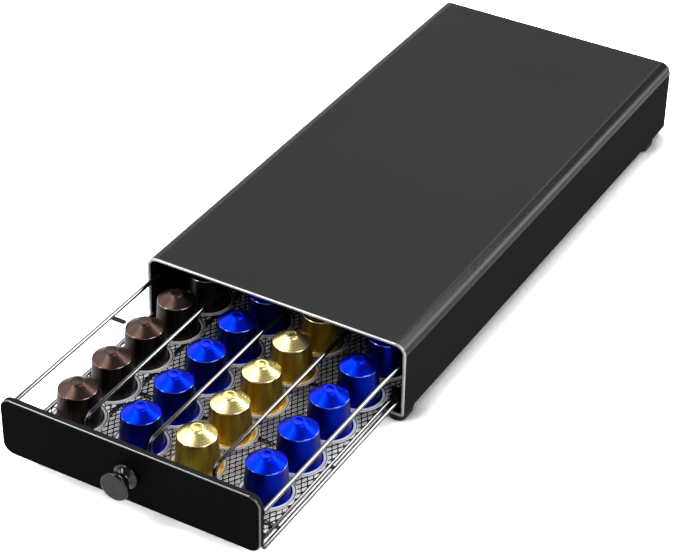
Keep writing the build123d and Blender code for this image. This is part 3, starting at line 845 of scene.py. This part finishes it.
def build_mesh_strands(low, high):
    """Expanded mesh: two sets of strands that cross in diamonds, long way along the drawer."""
    middle = Vector(((low[0] + high[0]) / 2, (low[1] + high[1]) / 2, 0))
    reach = math.hypot(high[0] - low[0], high[1] - low[1]) / 2
    count = int(reach / STRAND_PITCH)
    verts = []
    faces = []
    for side in (1, -1):
        angle = math.radians(STRAND_ANGLE) * side
        way = Vector((math.sin(angle), math.cos(angle), 0))
        across = Vector((way.y, -way.x, 0))
        top = high[2] if side == 1 else high[2] - STRAND_HEIGHT * STRAND_DROP
        for i in range(-count, count + 1):
            ends = strand_ends(middle + across * (i * STRAND_PITCH), way, reach, low, high)
            if ends is None:
                continue
            first = len(verts)
            columns = len(STRAND_PROFILE)
            for end in ends:
                for sideways, height in STRAND_PROFILE:
                    point = end + across * (sideways * STRAND_WIDTH / 2)
                    verts.append((point.x, point.y, top + height * STRAND_HEIGHT))
            faces += grid_faces(2, columns, first, close_columns=True)
            faces.append(tuple(first + k for k in reversed(range(columns))))
            faces.append(tuple(first + columns + k for k in range(columns)))
    mesh = mesh_from("mesh_strands", verts, faces, merge=False)
    node = "mesh_floor"
    finish_piece("mesh_strands", mesh, [MESH_COAT], DRAWER, "mesh", node, angle=60, weighted=False)


def build_mesh_border(low, high):
    """The rod-like edge that the strands end in."""
    half = MESH_BORDER / 2
    flat_low = (low[0] + half, 0, low[1] + half)
    flat_high = (high[0] - half, 0, high[1] - half)
    corner = MESH_CORNER - half
    outline = corner_outline(flat_low, flat_high, corner, corner, 0.0)
    path = [Vector((x, y, high[2] - half * BORDER_DROP)) for x, y in outline]
    verts, faces = tube(path, [half * BORDER_ROD] * len(path), sides=BORDER_SIDES, closed=True)
    mesh = mesh_from("mesh_border", verts, faces, merge=False)
    finish_piece("mesh_border", mesh, [MESH_COAT], DRAWER, "mesh", angle=50, weighted=False)


def build_mesh_floor():
    low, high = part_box("mesh_floor")
    build_mesh_strands(low, high)
    build_mesh_border(low, high)


# ---- capsules ----------------------------------------------------------------------------------
LANE_COLOURS = ("brown", "blue", "gold", "blue")
RIM_RADIUS = 18.5 * MM
ROWS = 5
BODY_STEPS = 56
RIM_STEPS = 72

# Profiles as (radius, height) in millimetres, for a capsule of this height.
CAPSULE_HEIGHT = 30.0
CAPSULE_SIDE = (
    (15.9, 0.9), (14.9, 0.92), (14.5, 1.2), (14.36, 2.2), (14.25, 4.0), (13.7, 12.0), (13.2, 19.0),
)
CAPSULE_SHOULDER = ((12.86, 23.55), (12.84, 23.8), (12.74, 24.1), (12.56, 24.38), (12.3, 24.58))
CAPSULE_CONE = (
    (8.0, 27.25), (5.7, 28.75), (5.25, 29.08), (4.95, 29.45),
    (4.65, 29.78), (4.2, 29.96), (3.7, 30.0),
)
FLAT_CROWN = ((3.6, 29.98), (1.2, 29.9), (0.0, 29.88))
DIMPLED_CROWN = ((3.1, 29.98), (2.6, 29.85), (2.1, 29.62), (1.5, 29.52), (0.8, 29.5), (0.0, 29.5))
# Heights of the shoulder band that gets the painted highlight.
SHOULDER_LOW = 23.7
SHOULDER_HIGH = 24.45
RIM_UNDER = ((13.8, 0.2), (17.9, 0.2), (18.2, 0.28), (18.42, 0.48), (18.5, 0.75))
RIM_BEAD = ((18.42, 1.02), (18.2, 1.2), (17.98, 1.22), (17.84, 1.08), (17.74, 0.8))
RIM_TOP = (
    (17.6, 0.72), (17.46, 0.84), (17.3, 1.02), (16.6, 1.12),
    (15.9, 1.12), (15.7, 1.05), (15.6, 0.7),
)

# The groove behind a rim's rolled bead, where a dark band paints its shade.
GROOVE_INNER = 17.2 * MM
GROOVE_OUTER = 17.9 * MM
GROOVE_LOW = 0.6 * MM


def lathe_lane(name, profile, places, steps, materials, slot, *nodes, angle, choose):
    """The same turned form at each place of a lane, as one piece."""
    base_verts, base_faces, base_uvs = lathe(profile, steps)
    verts = []
    faces = []
    uvs = []
    for place in places:
        first = len(verts)
        verts += [place + v for v in base_verts]
        faces += [tuple(first + i for i in face) for face in base_faces]
        uvs += base_uvs
    mesh = bpy.data.meshes.new(name)
    mesh.from_pydata([tuple(v) for v in verts], [], faces)
    layer = mesh.uv_layers.new(name="turning")
    for polygon, corners in zip(mesh.polygons, uvs):
        for loop, corner in zip(polygon.loop_indices, corners):
            layer.data[loop].uv = corner
    tidy = bmesh.new()
    tidy.from_mesh(mesh)
    bmesh.ops.dissolve_degenerate(tidy, edges=tidy.edges, dist=NO_LENGTH)
    bmesh.ops.remove_doubles(tidy, verts=tidy.verts, dist=SAME_POINT)
    tidy.to_mesh(mesh)
    tidy.free()
    look = dict(angle=angle, weighted=False, choose=choose)
    finish_piece(name, mesh, materials, DRAWER, slot, *nodes, **look)


def build_capsules():
    """Each lane's bodies as one piece that stands for its node, and their rims as another."""
    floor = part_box("mesh_floor")[1][2]
    rim_profile = [(r * MM, z * MM) for r, z in RIM_UNDER + RIM_BEAD + RIM_TOP]
    for lane, colour in enumerate(LANE_COLOURS, start=1):
        node = f"capsules_lane_{lane}"
        low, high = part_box(node)
        first = low[1] + RIM_RADIUS
        pitch = (high[1] - RIM_RADIUS - first) / (ROWS - 1)
        x = (low[0] + high[0]) / 2
        places = [Vector((x, first + row * pitch, floor)) for row in range(ROWS)]
        scale = (high[2] - floor) / CAPSULE_HEIGHT

        def zone(place):
            """0 the cone and crown, 1 the side in painted shade, 2 the rolled shoulder with a
            painted highlight.
            """
            height = (place.z - floor) / scale
            return 1 if height < SHOULDER_LOW else 2 if height < SHOULDER_HIGH else 0

        def groove_painted_shade(place):
            """1 in the groove behind the rim's rolled bead, which gets painted shade, 0 on the
            rest of the rim.
            """
            reach = min(math.hypot(place.x - centre.x, place.y - centre.y) for centre in places)
            return 1 if GROOVE_INNER < reach < GROOVE_OUTER and place.z > floor + GROOVE_LOW else 0

        crown = FLAT_CROWN if colour == "brown" else DIMPLED_CROWN
        whole = CAPSULE_SIDE + CAPSULE_SHOULDER + CAPSULE_CONE + crown
        profile = [(r * MM, z * scale) for r, z in whole]
        name = f"capsule_bodies_{lane}"
        # The sides' metals paint shade, and the shoulders' metals paint a highlight.
        metals = [CAPSULE_CONES[colour], CAPSULE_SIDES_PAINTED_SHADE[colour], CAPSULE_EDGES_PAINTED_HIGHLIGHT[colour]]
        slot = f"capsule_{colour}"
        lathe_lane(name, profile, places, BODY_STEPS, metals, slot, node, angle=28, choose=zone)
        name = f"capsule_rims_{lane}"
        metals = [RIM_METALS[colour], RIM_GROOVE_PAINTED_SHADE]
        slot = "lid_foil"
        lathe_lane(name, rim_profile, places, RIM_STEPS, metals, slot, angle=40, choose=groove_painted_shade)


# ---- CAD nodes that keep their shape -----------------------------------------------------------
def dress(material, *names):
    """Give nodes that keep their own shape a material."""
    for name in names:
        mesh = NODES[name].data
        mesh.materials.clear()
        mesh.materials.append(material)


def dress_nodes():
    dress(COAT, "runner_left", "runner_right", "stop_left", "stop_right")
    dress(RUBBER, "foot_front_left", "foot_front_right", "foot_rear_left", "foot_rear_right")
    dress(STEEL, "knob_screw", "knob_washer")
    dress(FOIL, *[f"capsule_lids_lane_{lane}" for lane in range(1, 5)])
    dress(WIRE, "hook_left", "hook_right")


# ---- stage -------------------------------------------------------------------------------------
FLOOR_SIZE = 8.0
NEAR_FLOOR = 0.55               # up to here from the middle the floor is lit and shadowed
FAR_FLOOR = 1.1                 # and from here on it has its own even white
FLOOR_SEEN = 2.8                # the floor's colour as the camera shows it
FLOOR_MIRRORED = 0.9            # as gloss and metal show it
FLOOR_PAINTED_SHADOW = 0.25            # the floor's colour in its painted shadow, under the object and where it stands
COVER_REACH = 0.022
COVER_SIDE = (-0.75, -0.35, 0.56)   # which way a point of the floor looks for what covers it, so that the painted shadow falls mostly to the object's right
COVER_SPAN = (0.42, 0.85)       # from covered to open, as shares of the sky within reach
COVER_SAMPLES = 6
FLOOR_GIVEN = 0.35              # what the floor gives back to the object
WORLD_LOW = 1.0
WORLD_HIGH = 0.12
WORLD_SPAN = (0.12, 0.38)       # heights on the unit sphere, from low to high
OBJECT_MIDDLE = (0, 0, 0.03)
BEND_LIGHT_TARGET = (0, 0.1, 0.05)
WIRE_LIGHT_TARGET = (0.05, -0.2, 0.045)
WIRE_LIGHT_REACH = 1.4          # from the target, seen along the drawer
WIRE_LIGHT_Y = 1.08
WIRE_LIGHT_TURNS = {"wire_light_high": 75, "wire_light_low": 40}    # degrees up from +X


def seen_rays(tree):
    """1 on rays that the camera sees, also in metal and through glass, and 0 on the rest."""
    path = tree.nodes.new("ShaderNodeLightPath")
    seen = path.outputs["Is Camera Ray"]
    for name in ("Is Glossy Ray", "Is Transmission Ray"):
        either = tree.nodes.new("ShaderNodeMath")
        either.operation = "MAXIMUM"
        tree.links.new(seen, either.inputs[0])
        tree.links.new(path.outputs[name], either.inputs[1])
        seen = either.outputs["Value"]
    return seen


def sky_within_reach(tree):
    """From 0 to 1, how open the floor is above and beside a point, within COVER_REACH. The floor's
    painted contact shadow follows it.
    """
    cover = tree.nodes.new("ShaderNodeAmbientOcclusion")
    cover.inputs["Distance"].default_value = COVER_REACH
    cover.samples = COVER_SAMPLES
    leaning = tree.nodes.new("ShaderNodeCombineXYZ")
    for axis, value in zip("XYZ", COVER_SIDE):
        leaning.inputs[axis].default_value = value
    tree.links.new(leaning.outputs["Vector"], cover.inputs["Normal"])
    return cover.outputs["AO"]


def lit_floor(tree, seen):
    """The floor's matt surface, which keeps the lamps' shadows, with a painted contact shadow
    where the object covers it nearby.
    """
    path = tree.nodes.new("ShaderNodeLightPath")
    uncovered = map_range(tree, path.outputs["Is Camera Ray"], FLOOR_MIRRORED, FLOOR_SEEN, 0, 1)
    # Painted contact shadow: the floor's colour falls where little is open within reach.
    sky = sky_within_reach(tree)
    shown = map_range(tree, sky, FLOOR_PAINTED_SHADOW, FLOOR_SEEN, *COVER_SPAN)
    tree.links.new(uncovered, shown.node.inputs["To Max"])
    bright = tree.nodes.new("ShaderNodeMix")
    bright.inputs["A"].default_value = FLOOR_GIVEN
    tree.links.new(seen, bright.inputs["Factor"])
    tree.links.new(shown, bright.inputs["B"])
    diffuse = tree.nodes.new("ShaderNodeBsdfDiffuse")
    tree.links.new(bright.outputs["Result"], diffuse.inputs["Color"])
    return diffuse.outputs["BSDF"]


def white_floor(tree, seen):
    """The floor's own even white, far from the object."""
    glow = tree.nodes.new("ShaderNodeEmission")
    given = (FLOOR_GIVEN,) * 3
    tree.links.new(mix_colours(tree, seen, given, (1.0, 1.0, 1.0)), glow.inputs["Color"])
    return glow.outputs["Emission"]


def floor_material():
    """White where it is lit, with the object's cast shadow and a painted contact shadow, and even
    white far away.
    """
    material = bpy.data.materials.new("floor")
    material.use_nodes = True
    tree = material.node_tree
    tree.nodes.clear()
    output = tree.nodes.new("ShaderNodeOutputMaterial")
    coords = tree.nodes.new("ShaderNodeTexCoord")
    distance = tree.nodes.new("ShaderNodeVectorMath")
    distance.operation = "LENGTH"
    tree.links.new(coords.outputs["Object"], distance.inputs[0])
    far = map_range(tree, distance.outputs["Value"], 0.0, 1.0, NEAR_FLOOR, FAR_FLOOR)
    seen = seen_rays(tree)
    both = tree.nodes.new("ShaderNodeMixShader")
    tree.links.new(far, both.inputs["Fac"])
    tree.links.new(lit_floor(tree, seen), both.inputs[1])
    tree.links.new(white_floor(tree, seen), both.inputs[2])
    tree.links.new(both.outputs["Shader"], output.inputs["Surface"])
    return material


def build_floor():
    corners = [(-FLOOR_SIZE, -FLOOR_SIZE, 0), (FLOOR_SIZE, -FLOOR_SIZE, 0)]
    corners += [(FLOOR_SIZE, FLOOR_SIZE, 0), (-FLOOR_SIZE, FLOOR_SIZE, 0)]
    mesh = bpy.data.meshes.new("floor")
    mesh.from_pydata(corners, [], [(0, 1, 2, 3)])
    mesh.materials.append(floor_material())
    floor = bpy.data.objects.new("floor", mesh)
    bpy.context.scene.collection.objects.link(floor)


def build_world():
    """White low down, as in a studio with pale walls, and dim above."""
    world = bpy.data.worlds.new("studio")
    bpy.context.scene.world = world
    world.use_nodes = True
    tree = world.node_tree
    background = tree.nodes["Background"]
    background.inputs["Color"].default_value = (1, 1, 1, 1)
    coords = tree.nodes.new("ShaderNodeTexCoord")
    split = tree.nodes.new("ShaderNodeSeparateXYZ")
    tree.links.new(coords.outputs["Generated"], split.inputs["Vector"])
    strength = map_range(tree, split.outputs["Z"], WORLD_LOW, WORLD_HIGH, *WORLD_SPAN)
    tree.links.new(strength, background.inputs["Strength"])


def stand(name, data, place, axes):
    """Put a lamp or a camera in its place, its own X, Y and Z along three axes."""
    thing = bpy.data.objects.new(name, data)
    thing.matrix_world = Matrix.Translation(place) @ Matrix(axes).transposed().to_4x4()
    bpy.context.scene.collection.objects.link(thing)
    return thing


def softbox(name, place, target, width, height, power, upright=(0, 0, 1)):
    """A rectangular lamp that faces its target, its height along upright."""
    light = bpy.data.lights.new(name, "AREA")
    light.shape = "RECTANGLE"
    light.size = width
    light.size_y = height
    light.energy = power
    back = (Vector(place) - Vector(target)).normalized()
    side = Vector(upright).cross(back).normalized()
    stand(name, light, place, (side, back.cross(side), back))


def build_lights():
    """Softboxes round the object, and two strips behind it that the drawer's wires mirror."""
    softbox("left", (-1.25, -0.2, 0.9), OBJECT_MIDDLE, 1.3, 1.0, 9)
    softbox("front_high", (-0.64, -0.91, 1.14), OBJECT_MIDDLE, 0.3, 1.2, 12)
    softbox("right_high", (1.25, -0.35, 1.2), OBJECT_MIDDLE, 0.9, 0.9, 10)
    x, _, z = WIRE_LIGHT_TARGET
    for name, turn in WIRE_LIGHT_TURNS.items():
        across = math.cos(math.radians(turn))
        up = math.sin(math.radians(turn))
        place = (x + WIRE_LIGHT_REACH * across, WIRE_LIGHT_Y, z + WIRE_LIGHT_REACH * up)
        softbox(name, place, WIRE_LIGHT_TARGET, 0.3, 0.95, 10, upright=(-up, 0, across))
    softbox("bend_light", (1.3, 1.5, 0.45), BEND_LIGHT_TARGET, 0.65, 0.7, 8.6)
    softbox("back_left", (-0.8, 1.43, 1.15), OBJECT_MIDDLE, 1.2, 1.0, 8)


def build_camera():
    place = Vector(CAMERA_PLACE)
    ahead = (Vector(CAMERA_TARGET) - place).normalized()
    level = ahead.cross(Vector((0, 0, 1))).normalized()
    up = level.cross(ahead)
    right = level * math.cos(CAMERA_ROLL) + up * math.sin(CAMERA_ROLL)
    top = up * math.cos(CAMERA_ROLL) - level * math.sin(CAMERA_ROLL)
    data = bpy.data.cameras.new("camera")
    data.lens = CAMERA_LENS
    data.sensor_width = CAMERA_SENSOR
    data.clip_start, data.clip_end = CAMERA_CLIP
    bpy.context.scene.camera = stand("camera", data, place, (right, top, -ahead))


bpy.context.scene.view_settings.view_transform = "Standard"
build_sleeve()
build_panel()
build_back()
build_knob()
build_wires()
build_mesh_floor()
build_capsules()
dress_nodes()
build_floor()
build_world()
build_lights()
build_camera()

bpy.context.view_layer.update()
